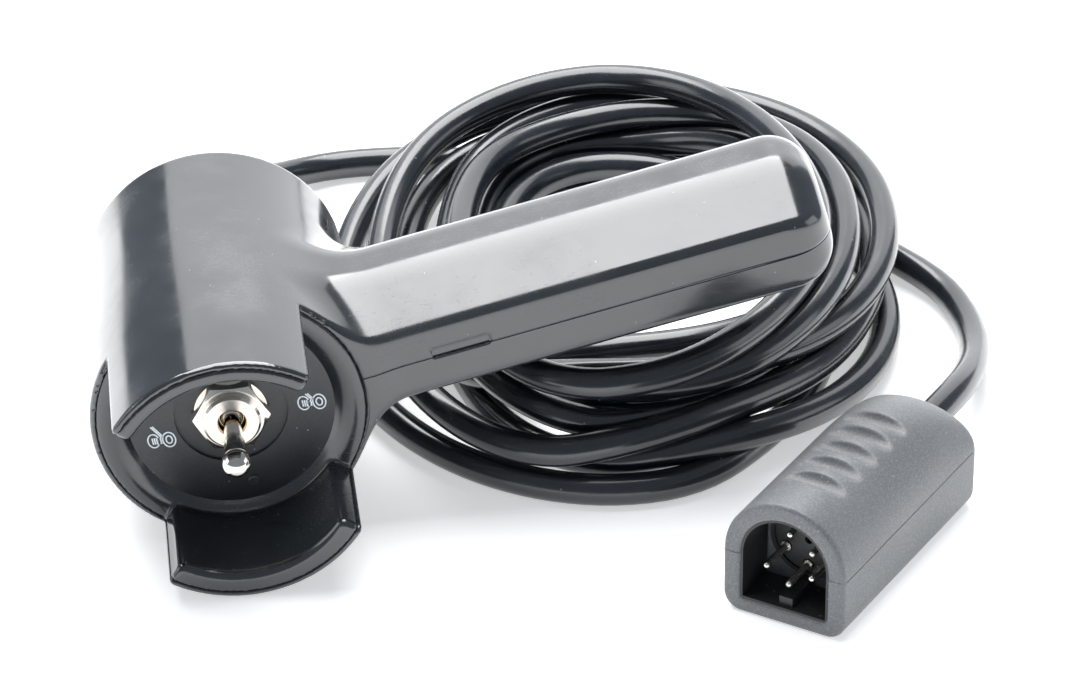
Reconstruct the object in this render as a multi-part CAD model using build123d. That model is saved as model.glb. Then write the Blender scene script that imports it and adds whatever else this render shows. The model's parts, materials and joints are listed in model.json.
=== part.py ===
from build123d import *
from math import atan2, cos, degrees, pi, radians, sin, tan
import os

# Wired remote control for an electric winch: a pistol-grip handset with a guarded toggle
# switch, a long cord lying in a loose coil, and a D-shaped multi-pin plug.
#
# Everything is in millimetres.  The handset is modelled in its own frame (origin at the centre
# of the head's front ring, +Y to the back of the head, +X along the handle, +Z up), then laid
# down as it rests: the head on the surface and the handle tipped up on the coil.

# ---- how it lies ----
HEAD_X, HEAD_Y = -48.96, -27.5     # the head's axis and front ring, from the handset's middle
TIP_ANGLE = 14                     # the handle's slope above the surface
PLUG_X, PLUG_Y = 107.4, -46.9      # the plug's front, from the head's front ring
PLUG_TURN = -36.8

# ---- head ----
RING_R = 29.0                      # front ring, outside; the head lies on it
REAR_R = 27.5
HEAD_LENGTH = 64.0
LINER_R = 27.0                     # outside of the bezel that lines the ring and the guards
BORE_R = 25.2
GUARD_HALF_ANGLE = 45.5
VISOR_LENGTH, VISOR_INNER_R = 29.0, 25.2
CHIN_LENGTH, CHIN_INNER_R = 23.5, 24.5
LIP_R, PANEL_EDGE_R, PANEL_R = 22.6, 20.8, 22.4
PANEL_FRONT, PANEL_BACK = 2.0, 4.0
BEZEL_BACK = 8.0
SEAM = 0.1                         # half the gap between the two shells

# ---- handle ----
HANDLE_END = 129.0
HANDLE_FRONT, HANDLE_WIDTH, HANDLE_THICK = 0.7, 40.0, 30.2
HANDLE_SIDE, HANDLE_FLAT = 14.6, 12.0
HANDLE_END_ROUND = 9.0
HANDLE_CORNER = 2.0
NECK_FLARE = [(42, 0), (35, -0.1), (32, -0.5), (29, -2), (26, -5.2), (22.6, -10.6)]  # (x, swelling)
NECK_ROUND = 8.0
WALL = 2.6
HANDLE_MID = HANDLE_FRONT + HANDLE_WIDTH / 2
SCREW_XS = (44.0, 80.0, 114.0)
SCREW_R, SCREW_HEAD_R, BOSS_R = 1.45, 2.9, 3.7
PRY_SLOT_X, PRY_SLOT_LENGTH, PRY_SLOT_HEIGHT, PRY_SLOT_DEPTH = 49.3, 12.4, 2.2, 1.3
SCREW_SINK, SCREW_HEAD, SCREW_TOP = 6.5, 2.0, 10.0
RIB_XS, RIB_INNER_Z = (62.0, 97.0), 6.0

# ---- toggle switch ----
BUSHING_R, BUSHING_FRONT, THROAT_R = 6.0, -2.7, 3.1
NUT_FLATS, NUT_THICK = 14.0, 3.0
PIVOT_Y, PIVOT_R, PIN_CLEARANCE = 1.5, 0.7, 0.05
BAT_END = -21.4
BALL_R = 3.0
CASE_FRONT, CASE_BACK = 9.0, 26.0
ROCKER_Y = 15.5
SOCKET_R, FRAME_FRONT = 3.75, 7.5
TAIL_END, PLUNGER_R, PLUNGER_END = 11.8, 0.9, 14.1
RECESS_R, RECESS_DEEP = 11.8, 0.8
WASHER, WASHER_R = 0.8, 7.6
NUT_TURN = 12
PEG_R, PEG_Z = 1.3, -17.3
TERMINAL_XS, TERMINAL_END = (-8.0, 0.0, 8.0), 33.0
STUD_Y, FULCRUM_Y, ROCKER_PIVOT_Y = 17.6, 18.6, 17.0

# ---- cord ----
CORD_D = 6.8
CORD_R = CORD_D / 2
RELIEF_END, RELIEF_NECK_R = 84.0, 6.0
TAIL_START = 42.0
CLAMP_Y, CLAMP_SCREW_XS, CLAMP_SCREW_R = 50.0, (-7.0, 7.0), 1.2
COIL_X, COIL_Y = 89.5, 82.5        # middle of the coil, from the head's front ring
COIL_OUTER = (65.5, 80.5)          # half its width and depth
HOLE_X, HOLE_Y = 96.5, 87.0
COIL_INNER = (33.0, 45.5)
COIL_TALL = 34.5
COIL_SHOULDER_OUT, COIL_SHOULDER_DOWN = 17.0, 13.0
COIL_GAP = 0.7                     # below the handle, which rests above the coil
LEAD_ROUTE = [(0, 84, 29), (0, 96, 29), (2, 116, 22), (8, 134, 12), (18, 149, 5), (31, 156.5, 3.4),
              (46, 157, 3.4), (61, 155, 3.4), (75, 151, 3.4)]
PLUG_ROUTE = [(148, 106, 3.4), (156, 95, 3.4), (164.5, 80, 3.4), (166.8, 63, 3.8), (165, 45.5, 6.3),
              (160, 29, 10.6), (152.93, 13.95, 14.1), (144.54, 2.74, 14.1)]

# ---- plug ----
PLUG_W, PLUG_H, PLUG_LENGTH = 27.4, 27.8, 62.0
HOOD_W, HOOD_FLOOR, HOOD_DEPTH = 19.8, 3.2, 12.0
LINER_WALL = 0.5
CORE_R, CORE_FRONT, CORE_BACK = 8.8, 11.0, 30.0
PLUG_PIN_R, PLUG_PIN_CIRCLE, PLUG_PIN_TIP = 0.75, 5.9, 2.0
SHANK_R, SHANK_FRONT = 1.1, 10.8
PLUG_AXIS_Z = PLUG_H - PLUG_W / 2
DOME_R, DOME_START, DOME_MIDDLE, DOME_END_R = 19.6, 39.0, (15.6, 53.5), 6.2
WIRES_END, PLUG_END = 40.0, 62.0
GROOVE_START, GROOVE_PITCH, GROOVE_DEEP, GROOVE_TILT = 10.6, 6.85, 1.5, 16.0

made = {}


def y_rod(radius, y0, y1, x=0.0, z=0.0):
    """A cylinder along Y."""
    return Pos(x, (y0 + y1) / 2, z) * Rot(90, 0, 0) * Cylinder(radius, y1 - y0)


def z_rod(radius, z0, z1, x=0.0, y=0.0):
    """A cylinder along Z."""
    return Pos(x, y, (z0 + z1) / 2) * Cylinder(radius, z1 - z0)


def block(x0, x1, y0, y1, z0, z1):
    return Pos((x0 + x1) / 2, (y0 + y1) / 2, (z0 + z1) / 2) * Box(x1 - x0, y1 - y0, z1 - z0)


def turned(*points):
    """A solid turned about the Y axis from an outline of (radius, y) points."""
    return revolve(make_face(Polyline(*points, close=True)), Axis.Y)


def y_prism(outline, y0, y1):
    """A flat outline in X and Z, drawn from y0 to y1."""
    plane = Plane(origin=(0, y0, 0), x_dir=(1, 0, 0), z_dir=(0, 1, 0))
    face = make_face(Polyline(*[(x, -z) for x, z in outline], close=True))
    return extrude(plane * face, amount=y1 - y0)


def sector(middle, half_angle, y0, y1, reach=60.0):
    """A wedge about the head's axis; middle is the angle from straight up, in degrees."""
    angles = [radians(middle - half_angle), radians(middle), radians(middle + half_angle)]
    rim = [(reach * sin(a), reach * cos(a)) for a in angles]
    return y_prism([(0, 0)] + rim, y0, y1)


def keep(name, shape, place):
    made[name] = place * shape


# ---------------------------------------------------------------- handset outer form

def octagon(inset):
    """The handle's section as (y, z) points, moved in by inset."""
    half_w, half_t = HANDLE_WIDTH / 2 - inset, HANDLE_THICK / 2 - inset
    slope = atan2(HANDLE_THICK / 2 - HANDLE_SIDE / 2, HANDLE_WIDTH / 2 - HANDLE_FLAT / 2)
    flat = HANDLE_FLAT / 2 - inset * tan(slope / 2)
    side = HANDLE_SIDE / 2 - inset * tan((pi / 2 - slope) / 2)
    quarter = [(half_w, side), (flat, half_t)]
    right = quarter + [(-y, z) for y, z in reversed(quarter)]
    return right + [(y, -z) for y, z in reversed(right)]


def handle_section(x, inset, corner=HANDLE_CORNER):
    plane = Plane(origin=(x, HANDLE_MID, 0), x_dir=(0, 1, 0), z_dir=(1, 0, 0))
    outline = make_face(Polyline(*octagon(inset), close=True))
    return plane * fillet(outline.vertices(), corner)


def neck_side():
    """The neck seen along the head's axis: arcs that run from the handle onto the head."""
    half = HANDLE_THICK / 2
    reach = RING_R + NECK_ROUND
    arc_z = half + NECK_ROUND
    arc_x = (reach ** 2 - arc_z ** 2) ** 0.5
    middle = (atan2(arc_z, arc_x) + pi + 1.5 * pi) / 2
    end = NECK_FLARE[0][0]

    def at(side, x, z):
        return (x, 0, side * z)

    edges = [Line(at(1, end, half), at(-1, end, half))]
    for side in (1, -1):
        on_head = at(side, arc_x * RING_R / reach, arc_z * RING_R / reach)
        between = at(side, arc_x + NECK_ROUND * cos(middle), arc_z + NECK_ROUND * sin(middle))
        edges += [Line((0, 0, 0), on_head), ThreePointArc(on_head, between, at(side, arc_x, half)),
                  Line(at(side, arc_x, half), at(side, end, half))]
    return extrude(make_face(edges), amount=60, dir=(0, 1, 0))


def handle_form():
    bar = extrude(handle_section(NECK_FLARE[0][0], 0), amount=HANDLE_END - NECK_FLARE[0][0])
    middle = Pos(HANDLE_END / 2, HANDLE_MID)
    plan = RectangleRounded(HANDLE_END, HANDLE_WIDTH, HANDLE_END_ROUND)
    side = RectangleRounded(HANDLE_END, HANDLE_THICK, HANDLE_END_ROUND)
    bar = bar & extrude(middle * plan, amount=HANDLE_THICK, both=True)
    bar = bar & extrude(Plane.XZ * Pos(HANDLE_END / 2, 0) * side, amount=2 * HANDLE_WIDTH, both=True)
    neck = loft([handle_section(x, inset) for x, inset in NECK_FLARE])
    neck = neck & block(0, NECK_FLARE[0][0], HANDLE_FRONT, 60, -40, 40) & neck_side()
    return bar + neck


def head_form():
    body = turned((0, 0), (RING_R - 0.3, 0), (RING_R, 2.0), (RING_R, 9.0), (REAR_R, HEAD_LENGTH),
                  (0, HEAD_LENGTH))
    rear = body.edges().filter_by(GeomType.CIRCLE).sort_by(Axis.Y)[-1]
    body = fillet(rear, 4.0)
    front = body.edges().filter_by(GeomType.CIRCLE).sort_by(Axis.Y)[0]
    return fillet(front, 0.9)


def guard(middle, length):
    tube = y_rod(RING_R, -length, 1.0)
    tube = fillet(tube.edges().filter_by(GeomType.CIRCLE).sort_by(Axis.Y)[0], 1.4)
    return tube & sector(middle, GUARD_HALF_ANGLE, -length - 1, 1.0)


def handset_form():
    return head_form() + handle_form() + guard(0, VISOR_LENGTH) + guard(180, CHIN_LENGTH)


# ---------------------------------------------------------------- handset casing

def shell_hollow():
    """Everything that is empty inside the two shells."""
    hollow = y_rod(LINER_R, -40, BEZEL_BACK)
    hollow += y_rod(BORE_R, BEZEL_BACK, HEAD_LENGTH - 3)
    hollow += extrude(handle_section(10, WALL, 1.0), amount=HANDLE_END - WALL - 10)
    hollow += y_rod(RELIEF_NECK_R, HEAD_LENGTH - 3, HEAD_LENGTH)
    return hollow


def shells():
    form = handset_form()
    slot = Pos(PRY_SLOT_X, HANDLE_FRONT, 0) * Rot(90, 0, 0) * SlotOverall(PRY_SLOT_LENGTH, PRY_SLOT_HEIGHT)
    form -= extrude(slot, amount=PRY_SLOT_DEPTH, both=True)
    case = form - shell_hollow()
    reach = 60
    halves = {}
    for name, side in (("upper_shell", 1), ("lower_shell", -1)):
        z_near, z_far = side * SEAM, side * reach
        half = block(-reach, 150, -reach, 100, min(z_near, z_far), max(z_near, z_far))
        shell = case & half
        inside = HANDLE_THICK / 2 - WALL / 2
        for x in SCREW_XS:
            z0, z1 = sorted((z_near, side * inside))
            shell += z_rod(BOSS_R, z0, z1, x, HANDLE_MID)
        for x in RIB_XS:
            z0, z1 = sorted((side * RIB_INNER_Z, side * inside))
            rib = block(x - 0.8, x + 0.8, HANDLE_FRONT, HANDLE_FRONT + HANDLE_WIDTH, z0, z1)
            shell += rib & extrude(handle_section(x - 1, WALL / 2, 1.0), amount=2)
        halves[name] = shell
    for x in SCREW_XS:
        under = -HANDLE_THICK / 2
        halves["lower_shell"] -= z_rod(SCREW_R + 0.2, under - 1, 0, x, HANDLE_MID)
        halves["lower_shell"] -= z_rod(SCREW_HEAD_R + 0.3, under - 1, under + SCREW_SINK, x, HANDLE_MID)
        halves["upper_shell"] -= z_rod(SCREW_R, 0, SCREW_TOP, x, HANDLE_MID)
    return halves


def front_bezel():
    """The ring that holds the panel, with the linings of both guards."""
    bezel = turned((LIP_R + 0.6, 0), (LINER_R, 0), (LINER_R, BEZEL_BACK), (PANEL_R, BEZEL_BACK),
                   (PANEL_R, PANEL_FRONT), (PANEL_EDGE_R, PANEL_FRONT), (PANEL_EDGE_R + 0.3, 1.3),
                   (LIP_R - 0.3, 0.2))
    for middle, length, inner in ((0, VISOR_LENGTH, VISOR_INNER_R), (180, CHIN_LENGTH, CHIN_INNER_R)):
        lining = y_rod(LINER_R, -length, 0.5) - y_rod(inner, -length - 1, 0.5)
        inner_edge = lining.edges().filter_by(GeomType.CIRCLE).sort_by(Axis.Y)[:2]
        inner_edge = [e for e in inner_edge if e.radius < LINER_R - 0.1]
        lining = fillet(inner_edge, 1.0)
        bezel += lining & sector(middle, GUARD_HALF_ANGLE, -length - 1, 0.5)
    return bezel


def case_screw(x):
    under = -HANDLE_THICK / 2 + SCREW_SINK
    screw = z_rod(SCREW_R, under - 0.1, SCREW_TOP - 0.5, x, HANDLE_MID)
    head = z_rod(SCREW_HEAD_R, under - SCREW_HEAD, under, x, HANDLE_MID)
    head = fillet(head.edges().filter_by(GeomType.CIRCLE).sort_by(Axis.Z)[0], 0.8)
    for turn in (0, 90):
        head -= Pos(x, HANDLE_MID, under - SCREW_HEAD) * Rot(0, 0, turn) * Box(3.4, 0.8, 1.8)
    return screw + head


def switch_panel():
    panel = y_rod(PANEL_R, PANEL_FRONT, PANEL_BACK) - y_rod(BUSHING_R, 0, 9)
    panel -= y_rod(RECESS_R, PANEL_FRONT, PANEL_FRONT + RECESS_DEEP)
    return panel - y_rod(PEG_R, 0, 9, 0, PEG_Z)


def panel_peg():
    peg = y_rod(PEG_R, PANEL_FRONT - 0.5, PANEL_BACK, 0, PEG_Z)
    return fillet(peg.edges().filter_by(GeomType.CIRCLE).sort_by(Axis.Y)[0], 0.4)


# ---------------------------------------------------------------- toggle switch

def hexagon(y0, y1, bore):
    outline = Plane(origin=(0, y0, 0), x_dir=(1, 0, 0), z_dir=(0, 1, 0)) * Rot(0, 0, NUT_TURN)
    corner = NUT_FLATS / 2 / cos(pi / 6)
    return extrude(outline * RegularPolygon(corner, 6), amount=y1 - y0) - y_rod(bore, y0 - 1, y1 + 1)


def panel_nut():
    back = PANEL_FRONT + RECESS_DEEP - WASHER
    nut = hexagon(back - NUT_THICK, back, BUSHING_R)
    flats, slope = NUT_FLATS / 2, 0.5
    bevel = turned((0, back - NUT_THICK), (flats - 0.3, back - NUT_THICK), (flats + 2, back - NUT_THICK + 2 * slope),
                   (flats + 2, back), (0, back))
    return nut & bevel


def front_washer():
    front = PANEL_FRONT + RECESS_DEEP - WASHER
    ring = y_rod(WASHER_R, front, front + WASHER) - y_rod(BUSHING_R, 0, 9)
    return ring


def lock_washer():
    ring = y_rod(8.2, PANEL_BACK, PANEL_BACK + 1) - y_rod(BUSHING_R, 0, 9)
    for turn in range(0, 360, 30):
        ring -= Rot(0, turn, 0) * block(-0.5, 0.5, PANEL_BACK - 1, PANEL_BACK + 2, 7.2, 9)
    return ring


def switch_bushing():
    tube = y_rod(BUSHING_R, BUSHING_FRONT, FRAME_FRONT)
    tube = chamfer(tube.edges().filter_by(GeomType.CIRCLE).sort_by(Axis.Y)[0], 0.5)
    for k in range(2):
        y = BUSHING_FRONT + 0.9 + 0.75 * k
        tube -= turned((BUSHING_R - 0.35, y), (BUSHING_R + 0.5, y - 0.3), (BUSHING_R + 0.5, y + 0.3))
    tube -= turned((0, BUSHING_FRONT), (THROAT_R, BUSHING_FRONT), (THROAT_R, -1.6), (SOCKET_R, -1.2),
                   (SOCKET_R, FRAME_FRONT), (0, FRAME_FRONT))
    return tube - z_rod(PIVOT_R, -9, 9, 0, PIVOT_Y)


def throat_sleeve():
    """The brass sleeve seen inside the mouth of the bushing."""
    return y_rod(THROAT_R, BUSHING_FRONT + 0.6, -1.7) - y_rod(THROAT_R - 0.2, -9, 9)


def toggle_lever():
    bat = turned((0, BAT_END + 2.5), (2.4, BAT_END + 2.6), (2.3, -14.0), (1.75, -3.4), (1.65, 0), (0, 0))
    tip = Pos(0, BAT_END + BALL_R, 0) * Sphere(BALL_R)
    ball = Pos(0, PIVOT_Y, 0) * Sphere(SOCKET_R - 0.25)
    tail = y_rod(1.6, PIVOT_Y, TAIL_END)
    lever = bat + tip + ball + tail
    lever -= y_rod(PLUNGER_R, TAIL_END - 5.0, TAIL_END + 1)
    return lever - z_rod(PIVOT_R + PIN_CLEARANCE, -9, 9, 0, PIVOT_Y)


def lever_plunger():
    body = y_rod(PLUNGER_R, TAIL_END - 2.5, PLUNGER_END - PLUNGER_R)
    return body + Pos(0, PLUNGER_END - PLUNGER_R, 0) * Sphere(PLUNGER_R)


def plunger_spring():
    start, finish = TAIL_END - 5.0, TAIL_END - 2.5
    wire, coil_r = 0.2, PLUNGER_R - 0.35
    path = Helix(pitch=0.6, height=finish - start - 2 * wire, radius=coil_r)
    section = Plane(origin=path @ 0, z_dir=path % 0) * Circle(wire)
    return Pos(0, start + wire, 0) * Rot(-90, 0, 0) * sweep(section, path=path)


def switch_frame():
    """The steel plate and side straps that hold the switch case to the bushing."""
    plate = block(-14.4, 14.4, FRAME_FRONT, CASE_FRONT, -8, 8) - y_rod(SOCKET_R, 0, 20)
    for side in (-1, 1):
        z0, z1 = sorted((side * 8, side * 8.8))
        plate += block(-9, 9, FRAME_FRONT, CASE_FRONT + 12, z0, z1)
    return plate


def switch_case():
    case = block(-14.4, 14.4, CASE_FRONT, CASE_BACK, -8, 8)
    case -= block(-10.5, 10.5, CASE_FRONT + 1.2, CASE_BACK - 5, -5, 5)
    case -= block(-5.5, 5.5, CASE_FRONT - 1, CASE_FRONT + 2, -4, 4)
    for x in TERMINAL_XS:
        case -= block(x - 2.4, x + 2.4, CASE_BACK - 6, CASE_BACK + 1, -0.4, 0.4)
    return case


def terminal(x, contact_y):
    """A flat solder lug; contact_y is where its inner end meets the rocker."""
    blade = block(x - 2.4, x + 2.4, CASE_BACK - 5, TERMINAL_END, -0.4, 0.4)
    blade += block(x - 1.0, x + 1.0, contact_y, CASE_BACK - 4.9, -0.4, 0.4)
    return blade - z_rod(0.8, -2, 2, x, TERMINAL_END - 2)


def contact_rocker():
    plate = block(-9, 9, ROCKER_Y - 0.4, ROCKER_Y + 0.4, -3, 3)
    for side in (-1, 1):
        z0, z1 = sorted((side * 3, side * 3.6))
        plate += block(-2, 2, ROCKER_Y - 0.4, ROCKER_Y + 2.6, z0, z1)
    return plate - z_rod(PIVOT_R + PIN_CLEARANCE, -9, 9, 0, ROCKER_PIVOT_Y)


def wire(x_switch, x_cord, radius):
    start, finish = (x_switch, TERMINAL_END, 0), (x_cord, TAIL_START, 0)
    middle = (TERMINAL_END + TAIL_START) / 2
    path = Bezier(start, (x_switch, middle, 0), (x_cord, middle, 0), finish)
    return sweep(Plane(origin=start, z_dir=(0, 1, 0)) * Circle(radius), path=path)


# ---------------------------------------------------------------- cord entry

def cord_relief():
    """The tapered sleeve that grips the cord where it leaves the back of the head."""
    flange, groove = HEAD_LENGTH - 5.5, HEAD_LENGTH - 3
    sleeve = turned((CORD_R, flange), (9, flange), (9, groove), (RELIEF_NECK_R, groove),
                    (RELIEF_NECK_R, HEAD_LENGTH), (7.6, HEAD_LENGTH), (6.6, HEAD_LENGTH + 3),
                    (4.6, RELIEF_END), (CORD_R, RELIEF_END))
    for k in range(5):
        y, deep = HEAD_LENGTH + 4.4 + 2.9 * k, 1.0
        outer = 8.0
        sleeve -= turned((CORD_R + deep, y), (outer, y), (outer, y + 1.2), (CORD_R + deep, y + 1.2))
    return sleeve


def cord_clamp_half(side):
    """One half of the clamp that takes a pull on the cord; the lower one stands on the shell."""
    y0, y1 = CLAMP_Y - 4, CLAMP_Y + 4
    if side < 0:
        half = block(-10, 10, y0, y1, -30, -0.3) & y_rod(BORE_R, y0, y1)
    else:
        half = block(-10, 10, y0, y1, 0.3, 6.0)
    half -= y_rod(CORD_R, y0 - 1, y1 + 1)
    for x in CLAMP_SCREW_XS:
        half -= z_rod(CLAMP_SCREW_R, -9, 9, x, CLAMP_Y)
    return half


def clamp_screw(x):
    head = z_rod(2.3, 6.0, 7.6, x, CLAMP_Y)
    head -= block(x - 3, x + 3, CLAMP_Y - 0.3, CLAMP_Y + 0.3, 6.9, 8)
    return z_rod(CLAMP_SCREW_R, -8.5, 6.1, x, CLAMP_Y) + head


# ---------------------------------------------------------------- cord

def rounded_route(route):
    """Straight runs joined by arcs as large as the runs beside each point allow."""
    points = [Vector(*p) for p in route]
    radii = []
    for before, here, after in zip(points, points[1:], points[2:]):
        turn = (here - before).get_angle(after - here)
        shorter = min((here - before).length, (after - here).length)
        radii.append(0.45 * shorter / tan(radians(turn) / 2))

    return FilletPolyline(*points, radius=radii)


def cord_tube(route):
    path = rounded_route(route)
    section = Plane(origin=path @ 0, z_dir=path % 0) * Circle(CORD_R)
    return sweep(section, path=path)


def coil_form():
    """The outer shape of the loose coil: an oval ring whose top slopes under the handle."""
    pile = extrude(Pos(COIL_X, COIL_Y) * Ellipse(*COIL_OUTER), amount=COIL_TALL)
    pile = chamfer(pile.edges().group_by(Axis.Z)[-1], COIL_SHOULDER_DOWN, COIL_SHOULDER_OUT)
    pile -= extrude(Pos(HOLE_X, HOLE_Y) * Ellipse(*COIL_INNER), amount=COIL_TALL)
    bottom = -HANDLE_THICK / 2 - COIL_GAP
    under_handle = Pos(0, 0, RING_R) * Rot(0, -TIP_ANGLE, 0) * block(-60, 200, -60, 200, -200, bottom)
    return pile & under_handle


# ---------------------------------------------------------------- plug

def d_outline(width, floor, y):
    """A D-shaped face: flat floor, straight sides and a round top about the plug's axis."""
    half = width / 2
    left, right = (-half, floor), (half, floor)
    sides = Polyline((-half, PLUG_AXIS_Z), left, right, (half, PLUG_AXIS_Z))
    top = ThreePointArc((half, PLUG_AXIS_Z), (0, PLUG_AXIS_Z + half), (-half, PLUG_AXIS_Z))
    return Plane(origin=(0, y, 0), x_dir=(-1, 0, 0), z_dir=(0, 1, 0)) * mirror(make_face([sides, top]), Plane.YZ)


def round_rod(radius, y0, y1):
    return y_rod(radius, y0, y1, 0, PLUG_AXIS_Z)


def plug_body():
    body = extrude(d_outline(PLUG_W, 0, 0), amount=PLUG_LENGTH)
    corners = [e for e in body.edges().filter_by(Axis.Y) if e.center().Z < 1]
    body = fillet(corners, 4.5)
    edge = [Line((0, -1), (DOME_R, -1)), Line((DOME_R, -1), (DOME_R, DOME_START)),
            ThreePointArc((DOME_R, DOME_START), DOME_MIDDLE, (DOME_END_R, PLUG_LENGTH)),
            Line((DOME_END_R, PLUG_LENGTH), (0, PLUG_LENGTH)), Line((0, PLUG_LENGTH), (0, -1))]
    dome = revolve(make_face(edge), Axis.Y)
    body = body & Pos(0, 0, PLUG_AXIS_Z) * dome
    body -= extrude(d_outline(HOOD_W, HOOD_FLOOR, -1), amount=HOOD_DEPTH + 1)
    body -= round_rod(CORE_R, 0, CORE_BACK)
    body -= round_rod(7.0, CORE_BACK - 1, WIRES_END)
    body -= round_rod(CORD_R, WIRES_END - 1, PLUG_LENGTH + 1)
    for k in range(5):
        body -= finger_groove(GROOVE_START + GROOVE_PITCH * k)
    return body


def finger_groove(y):
    """A sloping flat cut across the top: a straight step in front and a crescent edge behind."""
    cut = Box(20, 12, 6, align=(Align.CENTER, Align.MIN, Align.MIN))
    return Pos(0.6, y, PLUG_H - GROOVE_DEEP) * Rot(GROOVE_TILT, 0, 0) * cut


def hood_liner():
    inner_floor = HOOD_FLOOR + LINER_WALL
    liner = extrude(d_outline(HOOD_W, HOOD_FLOOR, 0.4), amount=HOOD_DEPTH - 1.4)
    liner -= extrude(d_outline(HOOD_W - 2 * LINER_WALL, inner_floor, 0), amount=HOOD_DEPTH)
    return liner + block(-1.5, 1.5, 1.4, HOOD_DEPTH - 1, inner_floor - 0.2, inner_floor + 2.0)


def pin_places():
    """Five of the six places on the pin circle; the sixth is left empty."""
    for turn in (90, 30, -30, -90, -150):
        angle = radians(turn)
        yield PLUG_PIN_CIRCLE * cos(angle), PLUG_AXIS_Z + PLUG_PIN_CIRCLE * sin(angle)


def pin_carrier():
    carrier = round_rod(CORE_R, CORE_FRONT, CORE_BACK)
    carrier -= round_rod(CORE_R - 0.9, CORE_FRONT - 1, CORE_FRONT + 0.5) - round_rod(CORE_R - 1.4, 0, 20)
    carrier -= round_rod(0.9, CORE_FRONT - 1, CORE_FRONT + 3)
    for x, z in pin_places():
        carrier -= y_rod(SHANK_R, 0, 40, x, z)
        carrier -= y_rod(PLUG_PIN_R + 0.6, CORE_FRONT - 1, CORE_FRONT + 0.8, x, z)
    return carrier


def contact_pin(x, z):
    tip = PLUG_PIN_TIP + PLUG_PIN_R
    pin = y_rod(PLUG_PIN_R, tip, SHANK_FRONT + 1, x, z) + Pos(x, tip, z) * Sphere(PLUG_PIN_R)
    return pin + y_rod(SHANK_R, SHANK_FRONT, CORE_BACK + 3, x, z)


def pin_wire(x, z):
    start, finish = CORE_BACK + 3.3, WIRES_END - 0.4
    dz = z - PLUG_AXIS_Z
    length = ((x * 0.65) ** 2 + (dz * 0.65) ** 2 + (finish - start) ** 2) ** 0.5
    run = Vector(-x * 0.65, finish - start, -dz * 0.65)
    return Plane(origin=(x, start, z), z_dir=run) * Pos(0, 0, length / 2) * Cylinder(0.7, length)


# ---------------------------------------------------------------- put together

def build():
    front = Pos(HEAD_X, HEAD_Y, 0)
    handset = front * Pos(0, 0, RING_R) * Rot(0, -TIP_ANGLE, 0)
    plug = front * Pos(PLUG_X, PLUG_Y, 0) * Rot(0, 0, PLUG_TURN)

    for name, shell in shells().items():
        keep(name, shell, handset)
    keep("front_bezel", front_bezel(), handset)
    keep("case_screws", Compound([case_screw(x) for x in SCREW_XS]), handset)
    keep("switch_panel", switch_panel(), handset)
    keep("panel_peg", panel_peg(), handset)
    keep("panel_nut", panel_nut(), handset)
    keep("front_washer", front_washer(), handset)
    keep("lock_washer", lock_washer(), handset)
    keep("back_nut", hexagon(PANEL_BACK + 1, PANEL_BACK + 3, BUSHING_R), handset)
    keep("switch_bushing", switch_bushing(), handset)
    keep("throat_sleeve", throat_sleeve(), handset)
    keep("lever_pin", z_rod(PIVOT_R, -5.6, 5.6, 0, PIVOT_Y), handset)
    keep("toggle_lever", toggle_lever(), handset)
    keep("lever_plunger", lever_plunger(), handset)
    keep("plunger_spring", plunger_spring(), handset)
    keep("switch_frame", switch_frame(), handset)
    keep("switch_case", switch_case(), handset)
    keep("contact_rocker", contact_rocker(), handset)
    keep("rocker_pin", z_rod(PIVOT_R, -5, 5, 0, ROCKER_PIVOT_Y), handset)
    for name, x, contact_y in zip(("terminal_in", "terminal_common", "terminal_out"), TERMINAL_XS,
                                  (STUD_Y, FULCRUM_Y, STUD_Y)):
        keep(name, terminal(x, contact_y), handset)
    for name, x in zip(("wire_in", "wire_common", "wire_out"), TERMINAL_XS):
        keep(name, wire(x, x * 0.22, 0.9), handset)
    keep("clamp_base", cord_clamp_half(-1), handset)
    keep("clamp_cap", cord_clamp_half(1), handset)
    keep("clamp_screws", Compound([clamp_screw(x) for x in CLAMP_SCREW_XS]), handset)
    keep("cord_relief", cord_relief(), handset)
    keep("cord_tail", y_rod(CORD_R, TAIL_START, RELIEF_END), handset)

    coil = coil_form()
    keep("cord_lead", cord_tube(LEAD_ROUTE) - coil, front)
    keep("cord_coil", coil, front)
    keep("cord_run", cord_tube(PLUG_ROUTE) - coil, front)

    keep("plug_body", plug_body(), plug)
    keep("hood_liner", hood_liner(), plug)
    keep("pin_carrier", pin_carrier(), plug)
    for number, (x, z) in enumerate(pin_places(), 1):
        keep(f"contact_pin_{number}", contact_pin(x, z), plug)
    keep("pin_wires", Compound([pin_wire(x, z) for x, z in pin_places()]), plug)
    keep("cord_end", round_rod(CORD_R, WIRES_END, PLUG_END), plug)


build()
os.makedirs("parts", exist_ok=True)
for name, shape in made.items():
    export_step(shape, f"parts/{name}.step")
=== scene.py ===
import json
from math import cos, hypot, pi, radians, sin, tan

import bmesh
import bpy
import numpy as np
from mathutils import Matrix, Vector


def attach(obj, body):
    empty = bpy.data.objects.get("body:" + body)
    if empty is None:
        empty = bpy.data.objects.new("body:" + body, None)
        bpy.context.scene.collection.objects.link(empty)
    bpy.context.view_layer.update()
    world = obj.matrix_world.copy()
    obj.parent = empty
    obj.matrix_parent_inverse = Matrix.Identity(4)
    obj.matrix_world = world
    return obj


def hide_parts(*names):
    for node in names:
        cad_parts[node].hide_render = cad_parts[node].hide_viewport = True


# Looks of the wired winch remote control.  Sizes are in millimetres, as in the part's source, unless
# they belong to materials, lights or the camera's data; MM turns them into the frame's metres.

MM = 0.001

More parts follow.
